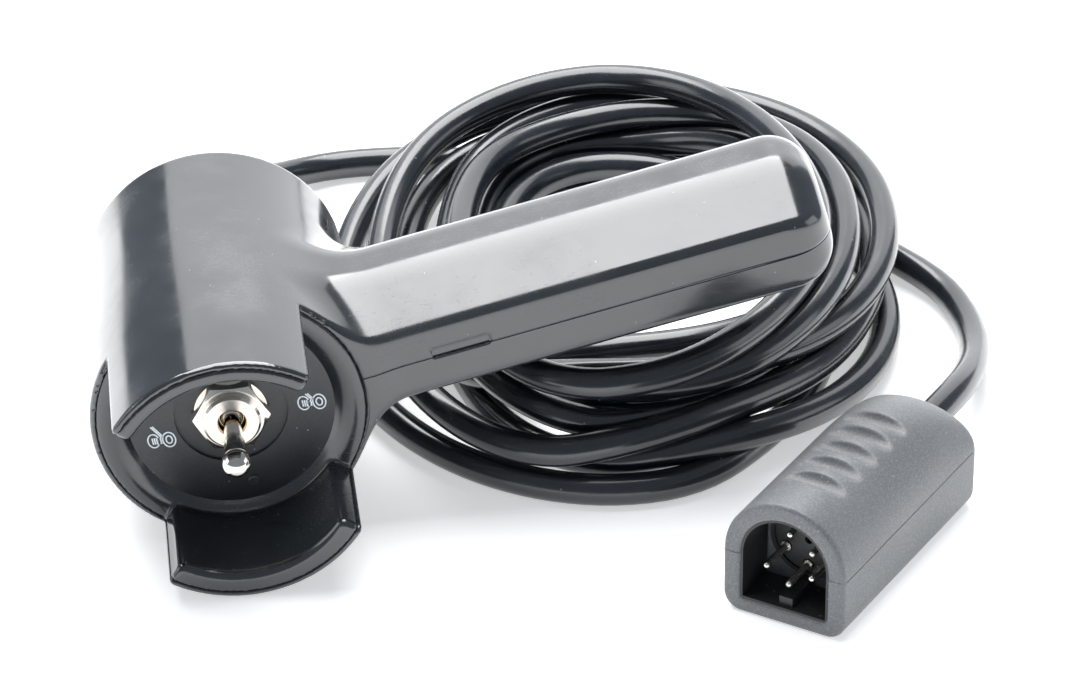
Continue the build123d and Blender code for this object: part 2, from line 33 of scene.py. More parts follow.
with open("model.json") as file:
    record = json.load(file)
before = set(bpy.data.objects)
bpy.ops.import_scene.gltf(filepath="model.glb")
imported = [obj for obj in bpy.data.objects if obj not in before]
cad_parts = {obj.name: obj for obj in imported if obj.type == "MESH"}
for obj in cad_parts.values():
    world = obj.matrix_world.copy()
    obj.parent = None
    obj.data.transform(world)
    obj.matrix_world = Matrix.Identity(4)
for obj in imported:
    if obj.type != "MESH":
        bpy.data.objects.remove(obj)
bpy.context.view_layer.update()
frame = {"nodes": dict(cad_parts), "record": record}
nodes = frame["nodes"]

# ---------------------------------------------------------------- places

HEAD = Vector((-48.96, -27.5, 0)) * MM      # the head's front ring, on the ground
RING_R = 29.0
TIP_ANGLE = 14.0
PLUG = Vector((107.4, -46.9, 0)) * MM
PLUG_TURN = -36.8
PLUG_AXIS_Z = 14.1
CORD_D = 6.8
HANDLE_UNDERSIDE = (13.44, tan(radians(TIP_ANGLE)))     # height under the head's axis, and slope

HANDSET_FRAME = Matrix.Translation(HEAD + Vector((0, 0, RING_R * MM))) @ \
    Matrix.Rotation(radians(-TIP_ANGLE), 4, "Y") @ Matrix.Scale(MM, 4)
PLUG_FRAME = Matrix.Translation(HEAD + PLUG) @ Matrix.Rotation(radians(PLUG_TURN), 4, "Z") @ \
    Matrix.Scale(MM, 4)


def placed(x, y, z):
    """A point given from the head's front ring on the ground, in millimetres."""
    return HEAD + Vector((x, y, z)) * MM


# ---------------------------------------------------------------- materials

class Graph:
    """Builds one node material with short calls."""

    def __init__(self, name, color, rough, metallic=0.0, **extra):
        self.material = bpy.data.materials.new(name)
        self.material.use_nodes = True
        self.tree = self.material.node_tree
        self.shader = self.tree.nodes["Principled BSDF"]
        self.set("Base Color", (*color, 1))
        self.set("Roughness", rough)
        self.set("Metallic", metallic)
        for key, value in extra.items():
            self.set(key.replace("_", " "), value)
        self.coords = self.node("TexCoord").outputs["Object"]
        self.normal = None

    def node(self, kind, **settings):
        n = self.tree.nodes.new("ShaderNode" + kind)
        for key, value in settings.items():
            setattr(n, key, value)
        return n

    def link(self, a, b):
        self.tree.links.new(a, b)

    def set(self, key, value):
        self.shader.inputs[key].default_value = value

    def scaled(self, scale):
        m = self.node("Mapping")
        m.inputs["Scale"].default_value = scale
        self.link(self.coords, m.inputs["Vector"])
        return m.outputs["Vector"]

    def noise(self, scale, detail=4.0, stretch=None, rough=0.55):
        n = self.node("TexNoise")
        n.inputs["Scale"].default_value = scale
        n.inputs["Detail"].default_value = detail
        n.inputs["Roughness"].default_value = rough
        self.link(self.scaled(stretch) if stretch else self.coords, n.inputs["Vector"])
        return n.outputs["Fac"]

    def ramp(self, value, low, high, out_low=0.0, out_high=1.0):
        n = self.node("MapRange")
        for key, v in zip(("From Min", "From Max", "To Min", "To Max"), (low, high, out_low, out_high)):
            n.inputs[key].default_value = v
        self.link(value, n.inputs["Value"])
        return n.outputs["Result"]

    def math(self, op, a, b):
        n = self.node("Math", operation=op)
        for i, v in enumerate((a, b)):
            if isinstance(v, (int, float)):
                n.inputs[i].default_value = v
            else:
                self.link(v, n.inputs[i])
        return n.outputs[0]

    def specks(self, scale, size, share):
        """Small round specks in some of the cells of a fine grid."""
        n = self.node("TexVoronoi")
        n.inputs["Scale"].default_value = scale
        self.link(self.coords, n.inputs["Vector"])
        near = self.ramp(n.outputs["Distance"], size, size * 0.6)
        split = self.node("SeparateColor")
        self.link(n.outputs["Color"], split.inputs[0])
        some = self.math("LESS_THAN", split.outputs[0], share)
        return self.math("MULTIPLY", near, some)

    def mix_color(self, factor, other):
        """Blends the colour so far with another where the factor is high."""
        n = self.node("Mix", data_type="RGBA")
        socket = self.shader.inputs["Base Color"]
        if socket.is_linked:
            self.link(socket.links[0].from_socket, n.inputs["A"])
        else:
            n.inputs["A"].default_value = socket.default_value
        n.inputs["B"].default_value = (*other, 1)
        self.link(factor, n.inputs["Factor"])
        self.link(n.outputs["Result"], socket)

    def set_rough(self, value):
        self.link(value, self.shader.inputs["Roughness"])

    def bump(self, height, distance):
        n = self.node("Bump")
        n.inputs["Strength"].default_value = 1.0
        n.inputs["Distance"].default_value = distance
        self.link(height, n.inputs["Height"])
        if self.normal:
            self.link(self.normal, n.inputs["Normal"])
        self.normal = n.outputs["Normal"]
        self.link(self.normal, self.shader.inputs["Normal"])


def glossy_moulding(name, color, rough_low, rough_high, coat, wave=0.00012, dust=0.05, smudge=42,
                    spec=0.85, scratch=0.1):
    """Glossy moulded plastic: smudges, hair scratches, a little unevenness and dust."""
    g = Graph(name, color, rough_low, IOR=1.52, Specular_IOR_Level=spec,
              Coat_Weight=coat, Coat_Roughness=0.1, Coat_IOR=1.5)
    smudges = g.noise(smudge, 6, rough=0.62)
    scratches = g.noise(1, 3, stretch=(260, 2600, 2600))
    scratches = g.ramp(scratches, 0.6, 0.72, 0, scratch)
    g.set_rough(g.math("ADD", g.ramp(smudges, 0.35, 0.7, rough_low, rough_high), scratches))
    g.mix_color(g.ramp(smudges, 0.3, 0.75, 0, 0.6), tuple(1.9 * c + 0.009 for c in color))
    g.mix_color(g.specks(520, 0.09, dust), (0.3, 0.31, 0.33))
    g.bump(g.noise(22, 2), wave)
    g.bump(g.noise(1700, 2), 0.000004)
    return g.material


STAIN = (0.3, 0.24, 0.16)


def metal(name, color, rough, brush=(1, 1, 1), stain_share=0.35):
    """Plated or brushed metal: fine grain, uneven polish and a little staining."""
    g = Graph(name, color, rough, 1.0)
    g.set_rough(g.ramp(g.noise(130, 5), 0.3, 0.75, rough * 0.7, rough * 1.9 + 0.03))
    g.mix_color(g.ramp(g.noise(260, 5), 0.52, 0.8, 0, stain_share), STAIN)
    g.bump(g.noise(900, 3, stretch=brush), 0.00001)
    return g.material


def grained(name, color, rough, grain, depth, light=1.9, specks=0.0, spec=0.5):
    """Matt moulded plastic or rubber with a fine spark-eroded grain."""
    g = Graph(name, color, rough, IOR=1.5, Specular_IOR_Level=spec)
    fine = g.noise(grain, 3, rough=0.7)
    broad = g.noise(60, 5)
    g.mix_color(g.ramp(fine, 0.45, 0.72, 0, 0.8), tuple(light * c for c in color))
    g.mix_color(g.ramp(broad, 0.45, 0.8, 0, 0.35), tuple(1.5 * c + 0.01 for c in color))
    if specks:
        g.mix_color(g.specks(900, 0.2, specks), (0.32, 0.33, 0.34))
    g.set_rough(g.ramp(broad, 0.3, 0.75, rough - 0.08, rough + 0.1))
    g.bump(fine, depth)
    return g.material


MATERIALS = {
    "case_gloss": glossy_moulding("case_gloss", (0.013, 0.016, 0.019), 0.09, 0.32, 0.5),
    "bezel_gloss": glossy_moulding("bezel_gloss", (0.012, 0.015, 0.018), 0.14, 0.3, 0.35),
    "panel_satin": grained("panel_satin", (0.022, 0.024, 0.027), 0.36, 1500, 0.000012, 1.6, 0.04, 0.7),
    "plated_nut": metal("plated_nut", (0.78, 0.74, 0.68), 0.14),
    "lever_chrome": metal("lever_chrome", (0.76, 0.73, 0.68), 0.07, stain_share=0.2),
    "plain_steel": metal("plain_steel", (0.55, 0.55, 0.56), 0.3, (1, 6, 6)),
    "throat_brass": metal("throat_brass", (0.62, 0.42, 0.22), 0.25),
    "switch_phenolic": grained("switch_phenolic", (0.12, 0.05, 0.03), 0.45, 800, 0.00003),
    "cord_sheath": glossy_moulding("cord_sheath", (0.007, 0.010, 0.014), 0.17, 0.27, 0.2,
                                   wave=0.00006, dust=0.06, smudge=90, spec=0.8, scratch=0.02),
    "plug_rubber": grained("plug_rubber", (0.135, 0.141, 0.148), 0.45, 2300, 0.00004, 1.9, 0.05),
    "plug_plastic": grained("plug_plastic", (0.02, 0.02, 0.021), 0.4, 1300, 0.00002, 1.8, 0.05),
    "pin_nickel": metal("pin_nickel", (0.80, 0.78, 0.73), 0.16),
    "wire_red": grained("wire_red", (0.5, 0.03, 0.03), 0.4, 500, 0.00001, 1.3),
    "wire_white": grained("wire_white", (0.7, 0.7, 0.68), 0.4, 500, 0.00001, 1.1),
    "wire_black": grained("wire_black", (0.02, 0.02, 0.02), 0.4, 500, 0.00001, 1.6),
    "symbol_print": grained("symbol_print", (0.84, 0.91, 0.96), 0.45, 900, 0.00001, 1.05),
}


# ---------------------------------------------------------------- carried-over nodes

for row in frame["record"]["subparts"]:
    node = nodes[row["node"]]
    node.data.materials.clear()
    node.data.materials.append(MATERIALS[row["material_slot"]])


def soft_edges(name, width):
    """Rounds a node's sharp edges as moulding or tumbling does."""
    bevel = nodes[name].modifiers.new("soft_edges", "BEVEL")
    bevel.width = width * MM
    bevel.segments = 2
    bevel.limit_method = "ANGLE"
    bevel.angle_limit = radians(32)
    bevel.harden_normals = False


for name, width in (("panel_nut", 0.3), ("front_washer", 0.15),
                    ("switch_bushing", 0.2), ("panel_peg", 0.25), ("pin_carrier", 0.15)):
    soft_edges(name, width)


# ---------------------------------------------------------------- small helpers for pieces

def new_piece(name, mesh, body, slot, material=None):
    """A mesh as a piece that rides a body, with its slot's material unless another is given."""
    piece = bpy.data.objects.new(name, mesh)
    bpy.context.scene.collection.objects.link(piece)
    if material is None:
        material = MATERIALS[slot]
    mesh.materials.append(material)
    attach(piece, body)
    return piece


def mesh_from(name, verts, faces, place, smooth=True):
    """A mesh of verts and faces that are given in the frame of place."""
    mesh = bpy.data.meshes.new(name)
    mesh.from_pydata([place @ Vector(v) for v in verts], [], faces)
    for polygon in mesh.polygons:
        polygon.use_smooth = smooth
    mesh.update()
    return mesh


def bead(points, radius, sides, up):
    """A round bead along a line of points, as verts and faces."""
    verts, faces = [], []
    points = [Vector(p) for p in points]
    last = len(points) - 1
    for i, p in enumerate(points):
        along = (points[min(i + 1, last)] - points[max(i - 1, 0)]).normalized()
        side = along.cross(up).normalized()
        over = side.cross(along)
        for k in range(sides):
            a = 2 * pi * k / sides
            verts.append(p + side * radius * cos(a) + over * radius * sin(a))
    for i in range(last):
        for k in range(sides):
            a, b = i * sides, (i + 1) * sides
            faces.append((a + k, a + (k + 1) % sides, b + (k + 1) % sides, b + k))
    faces.append(tuple(reversed(range(sides))))
    faces.append(tuple(range(last * sides, (last + 1) * sides)))
    return verts, faces


def joined(parts):
    """Several sets of verts and faces as one."""
    verts, faces = [], []
    for more_verts, more_faces in parts:
        start = len(verts)
        verts += more_verts
        faces += [tuple(start + i for i in face) for face in more_faces]
    return verts, faces


# ---------------------------------------------------------------- smooth skins

def soft_max(a, b, k):
    """The larger of two fields, with the crease between them rounded over about k."""
    h = np.maximum(k - np.abs(a - b), 0)
    return np.maximum(a, b) + h * h / (4 * k)


def soft_min(a, b, k):
    return -soft_max(-a, -b, k)


def rounded(a, b, radius):
    """Where two fields are both inside, with the edge between them rounded to a radius."""
    p, q = a + radius, b + radius
    return np.minimum(np.maximum(p, q), 0) + np.hypot(np.maximum(p, 0), np.maximum(q, 0)) - radius


def skin(name, field, low, high, step, place):
    """A closed quad mesh of the surface where field(x, y, z) is zero, in a millimetre grid."""
    axes = [np.arange(a, b + step, step) for a, b in zip(low, high)]
    inside = field(*np.meshgrid(*axes, indexing="ij")) < 0
    count = np.zeros([n - 1 for n in inside.shape], int)
    for i in (0, 1):
        for j in (0, 1):
            for k in (0, 1):
                nx, ny, nz = count.shape
                count += inside[i:i + nx, j:j + ny, k:k + nz]
    mixed = (count > 0) & (count < 8)
    index = np.full(mixed.shape, -1)
    index[mixed] = np.arange(mixed.sum())
    cells = np.argwhere(mixed)
    points = (cells + 0.5) * step + np.array([a[0] for a in axes])

    quads = []
    for axis in range(3):
        a = np.moveaxis(inside, axis, 0)
        ids = np.moveaxis(index, axis, 0)
        change = (a[:-1, 1:-1, 1:-1] != a[1:, 1:-1, 1:-1])
        i, j, k = np.nonzero(change)
        outward = a[:-1, 1:-1, 1:-1][change]
        ring = np.stack([ids[i, j, k], ids[i, j + 1, k], ids[i, j + 1, k + 1], ids[i, j, k + 1]], 1)
        if axis == 1:
            outward = ~outward
        ring[~outward] = ring[~outward][:, ::-1]
        quads.append(ring)
    quads = np.concatenate(quads)

    def onto_surface(p, rounds, most):
        for _ in range(rounds):
            e = 0.02
            value = field(*p.T)
            slope = np.stack([field(*(p + d).T) - field(*(p - d).T) for d in np.eye(3) * e], 1) / (2 * e)
            move = value[:, None] * slope / np.maximum((slope ** 2).sum(1), 0.05)[:, None]
            size = np.linalg.norm(move, axis=1, keepdims=True)
            p = p - move * np.minimum(1, most / np.maximum(size, 1e-9))
        return p

    edges = np.concatenate([quads[:, [a, (a + 1) % 4]] for a in range(4)])
    for _ in range(4):
        points = onto_surface(points, 2, step * 0.5)
        total = np.zeros_like(points)
        share = np.zeros(len(points))
        for a, b in ((0, 1), (1, 0)):
            np.add.at(total, edges[:, a], points[edges[:, b]])
            np.add.at(share, edges[:, a], 1)
        points = 0.5 * points + 0.5 * total / np.maximum(share, 1)[:, None]
    points = onto_surface(points, 4, step * 0.5)

    matrix = np.array(place)
    placed_points = points @ matrix[:3, :3].T + matrix[:3, 3]
    mesh = bpy.data.meshes.new(name)
    mesh.vertices.add(len(points))
    mesh.vertices.foreach_set("co", placed_points.ravel())
    mesh.loops.add(quads.size)
    mesh.loops.foreach_set("vertex_index", quads.ravel())
    mesh.polygons.add(len(quads))
    mesh.polygons.foreach_set("loop_start", np.arange(len(quads)) * 4)
    mesh.update(calc_edges=True)
    mesh.polygons.foreach_set("use_smooth", np.ones(len(quads), bool))
    mesh.validate()
    return mesh


# ---------------------------------------------------------------- handset casing

HEAD_LENGTH, REAR_R = 65.0, 27.8
SEAM_R, BORE_R = 27.75, 25.2          # the lining's outside, and the head's inside
GUARD_HALF_ANGLE = radians(45.5)
VISOR_LENGTH, CHIN_LENGTH = 29.0, 23.5
HANDLE_END, HANDLE_WIDTH, HANDLE_THICK = 129.0, 40.0, 30.2
HANDLE_SIDE, HANDLE_FLAT, HANDLE_MID = 14.6, 12.0, 20.7      # upright side, flat, middle in depth
NECK_ROUND, END_ROUND, CORNER_ROUND = 9.0, 9.5, 1.7
SCREW_XS, SCREW_SINK_R, SCREW_SINK_TOP = (44.0, 80.0, 114.0), 3.2, -8.6
SLOT_X, SLOT_Z, SLOT_HALF_LENGTH, SLOT_HALF_HEIGHT, SLOT_DEPTH = 49.3, 1.0, 6.2, 1.0, 1.25
SEAM_BACK, BORE_BACK = 8.2, 60.0      # how far back the lining's seat and the hollow reach
GUARD_ROOT = 3.0                      # how far the guards run back into the ring
NO_SEAM = -100.0                      # a field that is inside everywhere
EDGE_ROUND = 1.2
SEAM = 0.09                           # half the gap between the casing's halves
SEAM_LIP = 1.2                        # how far the cut edges turn inward


def head_radius(y):
    """The head narrows a little towards the back."""
    t = np.clip(y / HEAD_LENGTH, 0, 1)
    return RING_R - (RING_R - REAR_R) * t * t * (3 - 2 * t)


def handle_field(x, y, z):
    """The handle: a flat-topped bar with wide chamfers, rounded over at its far end."""
    across, tall = np.abs(y - HANDLE_MID), np.abs(z)
    run, rise = (HANDLE_WIDTH - HANDLE_FLAT) / 2, (HANDLE_THICK - HANDLE_SIDE) / 2
    slant = hypot(run, rise)
    chamfer = (rise * (across - HANDLE_WIDTH / 2) + run * (tall - HANDLE_SIDE / 2)) / slant
    section = soft_max(soft_max(across - HANDLE_WIDTH / 2, chamfer, CORNER_ROUND),
                       tall - HANDLE_THICK / 2, CORNER_ROUND)
    return rounded(section, x - HANDLE_END, END_ROUND)


def guard_field(x, y, z, middle, length, inner, seam, round_in, round_out):
    """A curved guard in front of the ring; its wall runs from inner to the ring's outside."""
    radius = np.hypot(x, z)
    turn = np.abs(np.arctan2(x * middle, z * middle)) - GUARD_HALF_ANGLE
    ends = rounded(-length - y, turn * radius, 1.3)
    wall = np.maximum(rounded(inner - radius, ends, round_in), rounded(radius - RING_R, ends, round_out))
    return np.maximum(np.maximum(wall, seam), y - GUARD_ROOT)


def casing_field(x, y, z):
    """The whole casing: head, handle and guards, less the lining's seat, the hollow and the sinks."""
    radius = np.hypot(x, z)
    head = rounded(radius - head_radius(y), y - HEAD_LENGTH, EDGE_ROUND)
    handle = np.maximum(handle_field(x, y, z), -x)
    body = rounded(soft_min(head, handle, NECK_ROUND), -y, EDGE_ROUND)
    body = soft_max(body, -np.maximum(radius - SEAM_R, y - SEAM_BACK), 0.5)
    body = np.maximum(body, -rounded(radius - BORE_R, y - BORE_BACK, 0.5))
    for screw_x in SCREW_XS:
        sink = np.hypot(x - screw_x, y - HANDLE_MID) - SCREW_SINK_R
        body = soft_max(body, -np.maximum(sink, z - SCREW_SINK_TOP), 0.5)
    slot = np.maximum(np.abs(x - SLOT_X) - SLOT_HALF_LENGTH, np.abs(z - SLOT_Z) - SLOT_HALF_HEIGHT)
    body = soft_max(body, -np.maximum(slot, y - SLOT_DEPTH), 0.6)
    for middle, length in ((1, VISOR_LENGTH), (-1, CHIN_LENGTH)):
        guard = guard_field(x, y, z, middle, length, SEAM_R, NO_SEAM, 0.4, 0.9)
        body = np.minimum(body, guard)
    return body


PANEL_R, LIP_R, LIP_BACK, LINING_BACK = 20.9, 24.0, 2.4, 6.0
VISOR_INNER, CHIN_INNER = 24.6, 23.6  # the guards' linings' inner radii


def bezel_field(x, y, z):
    """The ring's lining with a soft rim and a sloping throat down to the panel, and both guards'."""
    radius = np.hypot(x, z)
    slope = (LIP_R - PANEL_R) / LIP_BACK
    throat = (LIP_R - slope * y - radius) / hypot(1, slope)
    ring = np.maximum(rounded(throat, -y, 1.4), y - LINING_BACK)
    ring = np.maximum(ring, PANEL_R - radius)
    ring = np.maximum(ring, radius - SEAM_R)
    for middle, length, inner in ((1, VISOR_LENGTH, VISOR_INNER), (-1, CHIN_LENGTH, CHIN_INNER)):
        guard = guard_field(x, y, z, middle, length, inner, radius - SEAM_R, 1.7, 0.25)
        ring = soft_min(ring, guard, 0.8)
    return ring


def half_of(name, mesh, upper):
    """Keeps the casing's upper or lower half and turns the cut edge into the seam."""
    side = 1 if upper else -1
    bm = bmesh.new()
    bm.from_mesh(mesh)
    normal = (HANDSET_FRAME.to_3x3() @ Vector((0, 0, 1))).normalized()
    cut = HANDSET_FRAME @ Vector((0, 0, side * SEAM))
    found = bmesh.ops.bisect_plane(bm, geom=bm.verts[:] + bm.edges[:] + bm.faces[:], dist=1e-6,
                                   plane_co=cut, plane_no=normal * side, clear_inner=True)
    bm.normal_update()
    rim = [e for e in found["geom_cut"] if isinstance(e, bmesh.types.BMEdge)]
    inward = {v: -(v.normal - v.normal.dot(normal) * normal).normalized() for e in rim for v in e.verts}
    grown = bmesh.ops.extrude_edge_only(bm, edges=rim)["geom"]
    old = {v.co.to_tuple(7): v for v in inward}
    for v in (g for g in grown if isinstance(g, bmesh.types.BMVert)):
        source = old.get(v.co.to_tuple(7))
        if source:
            v.co += inward[source] * SEAM_LIP * MM
    bmesh.ops.recalc_face_normals(bm, faces=bm.faces[:])
    half = bpy.data.meshes.new(name)
    bm.to_mesh(half)
    bm.free()
    half.polygons.foreach_set("use_smooth", np.ones(len(half.polygons), bool))
    half.update()
    return half


casing = skin("casing", casing_field, (-31, -31, -31), (131, 67, 31), 0.65, HANDSET_FRAME)
for name, node, upper in (("casing_upper", "upper_shell", True), ("casing_lower", "lower_shell", False)):
    piece = new_piece(name, half_of(name, casing, upper), "handset", "case_gloss")
    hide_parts(node)

bezel = new_piece("bezel", skin("bezel", bezel_field, (-29, -30, -29), (29, 7, 29), 0.5, HANDSET_FRAME),
                  "handset", "bezel_gloss")
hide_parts("front_bezel")

# ---------------------------------------------------------------- plug

HOOD_W, HOOD_FLOOR, HOOD_DEPTH = 19.8, 3.2, 12.0
PLUG_W, PLUG_LENGTH, CORE_R = 27.4, 62.0, 8.8
DOME_START, DOME_REACH = 38.0, 27.0
GROOVE_START, GROOVE_PITCH, GROOVE_R, GROOVE_HALF = 12.6, 6.85, 2.5, 9.0
GROOVE_AXIS = (0.8, 28.35)             # sideways, and height
GROOVES = 5
CORE_DEPTH = 30.0
FLATTEST = 0.12                        # square of the least the dome is pressed down to at the back
MOULD_LINE_Z, MOULD_LINE_R = 13.7, 0.13


def d_field(x, z, half, floor, corner):
    """A D-shaped section: round top, straight sides and a flat floor."""
    top = np.hypot(x, np.maximum(z - PLUG_AXIS_Z, 0)) - half
    return rounded(top, floor - z, corner)


def plug_field(x, y, z):
    """The plug: a D-shaped bar that slopes down at the back, its hood, core and finger grooves."""
    ring = np.hypot(x, z - PLUG_AXIS_Z)
    half = PLUG_W / 2
    squash = np.sqrt(np.maximum(1 - (np.maximum(y - DOME_START, 0) / DOME_REACH) ** 2, FLATTEST))
    above = np.maximum(z - PLUG_AXIS_Z, 0) / squash
    top = (np.hypot(x, above) - half) * np.where(z > PLUG_AXIS_Z, squash, 1)
    body = rounded(rounded(top, -z, 4.0), -y, 0.9)
    body = rounded(body, y - PLUG_LENGTH, 3.2)
    hood = np.maximum(d_field(x, z, HOOD_W / 2, HOOD_FLOOR, 1.2), y - HOOD_DEPTH)
    body = soft_max(body, -hood, 0.7)
    body = np.maximum(body, -np.maximum(ring - CORE_R, y - CORE_DEPTH))
    body = np.maximum(body, -(ring - CORD_D / 2))
    for k in range(GROOVES):
        along = y - GROOVE_START - GROOVE_PITCH * k
        scoop = np.hypot(along, z - GROOVE_AXIS[1]) - GROOVE_R
        scoop = np.maximum(scoop, np.abs(x - GROOVE_AXIS[0]) - GROOVE_HALF)
        body = soft_max(body, -scoop, 0.4)
    return body


plug_skin = skin("plug_shell", plug_field, (-15, -1.5, -1), (15, 63.5, 29), 0.5, PLUG_FRAME)
plug_piece = new_piece("plug_shell", plug_skin, "handset", "plug_rubber")
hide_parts("plug_body")


def mould_line():
    """The fine line where the plug's mould closed, along both sides and across the front rim."""
    parts = []
    for side in (-1, 1):
        run = [(side * 9.95, 0.0, MOULD_LINE_Z), (side * 12.6, -0.02, MOULD_LINE_Z),
               (side * 13.5, 0.35, MOULD_LINE_Z)]
        run += [(side * PLUG_W / 2, y, MOULD_LINE_Z) for y in np.linspace(1.2, PLUG_LENGTH - 3.4, 24)]
        parts.append(bead(run, MOULD_LINE_R, 6, Vector((0, 0, 1))))
    return joined(parts)


plug_seam = new_piece("plug_seam", mesh_from("plug_seam", *mould_line(), PLUG_FRAME), "handset",
                      "plug_rubber")


# ---------------------------------------------------------------- printed symbols

PRINT_Y = 1.985                        # just in front of the panel
INK = 0.15                             # half the width of a printed line
INK_DEPTH = 0.03
BARREL_LINES, BARREL_PITCH, BARREL_DROP = 5, 0.42, 0.08


def ink_line(points, closed=False):
    """A flat printed line through points in the panel's plane."""
    verts, faces = [], []
    count = len(points)
    for i, (x, z) in enumerate(points):
        x0, z0 = points[(i - 1) % count] if closed or i else (x, z)
        x1, z1 = points[(i + 1) % count] if closed or i < count - 1 else (x, z)
        size = hypot(x1 - x0, z1 - z0)
        nx, nz = -(z1 - z0) / size * INK, (x1 - x0) / size * INK
        verts += [(x + nx, PRINT_Y, z + nz), (x - nx, PRINT_Y, z - nz),
                  (x - nx, PRINT_Y + INK_DEPTH, z - nz), (x + nx, PRINT_Y + INK_DEPTH, z + nz)]
    for i in range(count if closed else count - 1):
        a, b = 4 * i, 4 * ((i + 1) % count)
        faces += [(a + k, a + (k + 1) % 4, b + (k + 1) % 4, b + k) for k in range(4)]
    return verts, faces


def ink_oval(x, z, wide, tall):
    return ink_line([(x + wide * cos(a), z + tall * sin(a)) for a in np.linspace(0, 2 * pi, 33)[:-1]],
                    closed=True)


def winch_symbol(cable):
    """A winch drum: two flanges, the wound barrel between them and the cable leaving it."""
    parts = [ink_oval(-1.7, 0.25, 1.15, 1.6), ink_oval(1.45, -0.35, 1.3, 1.75),
             ink_oval(1.45, -0.35, 0.62, 0.9)]
    for k in range(BARREL_LINES):
        x = -1.95 + BARREL_PITCH * k
        drop = BARREL_DROP * k
        parts.append(ink_line([(x, -0.55 - drop), (x + 0.12, 0.95 - drop)]))
    for x in (-0.35, 0.05):
        parts.append(ink_line([(x + 0.45, 0.55), (x + 0.45 + cable[0], 0.55 + cable[1])]))
    return joined(parts)


for name, x, z, cable in (("symbol_left", -15.4, -2.1, (-1.5, 3.1)),
                          ("symbol_right", 16.5, -3.0, (-0.9, 1.7))):
    symbol = mesh_from(name, *winch_symbol(cable), HANDSET_FRAME @ Matrix.Translation((x, 0, z)), False)
    new_piece(name, symbol, "handset", "panel_satin", MATERIALS["symbol_print"])


# ---------------------------------------------------------------- cord

LEAD_ROUTE = [(0, 84, 29), (0, 96, 29), (2, 116, 22), (8, 134, 12), (18, 149, 5), (31, 156.5, 3.4),
              (46, 157, 3.4), (61, 155, 3.4), (75, 151, 3.4)]
PLUG_ROUTE = [(148, 106, 3.4), (156, 95, 3.4), (164.5, 80, 3.4), (166.8, 63, 3.8), (165, 45.5, 6.3),
              (160, 29, 10.6), (152.93, 13.95, 14.1), (144.54, 2.74, 14.1)]

# Each loose turn by its four outermost points: at the back, the right, the front and the left.
# The last one leaves for the plug at its right.
TURNS = [
    ((88, 147, 3.4), (140, 95, 3.4), (80, 5.5, 3.4), (27, 78, 3.4)),
    ((100, 160, 16), (152, 98, 18), (90, 20, 18), (43, 85, 6)),
    ((95, 157, 10), (133, 80, 10), (88, 45, 13), (58, 78, 3.4)),
    ((92, 144, 10), (137, 85, 17), (80, 12, 17), (52, 70, 10)),
    ((93, 150, 17.4), (149, 100, 6), (72, 7, 10.3), (36, 72, 12)),
    ((92, 151, 25), (133, 76, 31), (80, 8, 25.5), (53, 57, 21)),
    ((98, 143, 17.4), (141, 88, 24), (85, 13, 17.5), (60, 62, 10.5)),
    ((95, 136, 10), (151.5, 85, 3.4), (85, 9, 6), (51, 68, 3.4)),
    ((92, 136, 3.4), (158, 78, 3.4)),
]
QUARTER_POINTS = 9
SQUARER = 0.13                     # how far the back left corner of each turn is pulled out
LAST_QUARTER = 6                   # points of the last quarter, where the cord leaves for the plug
SETTLE_ROUNDS = 110
FINE = 3                           # places on the line from one point to the next while it settles
SPARE = 0.15                       # air between turns that lie on each other


def turn_points():
    """The coil's turns: a quarter of an oval from each outermost point to the next."""
    stations = [p for turn in TURNS for p in turn]
    points = []
    for quarter, (start, finish) in enumerate(zip(stations, stations[1:])):
        last = quarter == len(stations) - 2
        for k in range(LAST_QUARTER if last else QUARTER_POINTS):
            t = k / QUARTER_POINTS
            a = t * pi / 2
            dx, dy, dz = (f - s for s, f in zip(start, finish))
            if quarter % 2 == 0:
                x, y = start[0] + dx * sin(a), finish[1] - dy * cos(a)
            else:
                x, y = finish[0] - dx * cos(a), start[1] + dy * sin(a)
            if quarter % 4 == 3:
                pull = SQUARER * sin(2 * a) ** 2
                x, y = x + pull * (start[0] - x), y + pull * (finish[1] - y)
            points.append((x, y, start[2] + dz * t * t * (3 - 2 * t)))
    return points


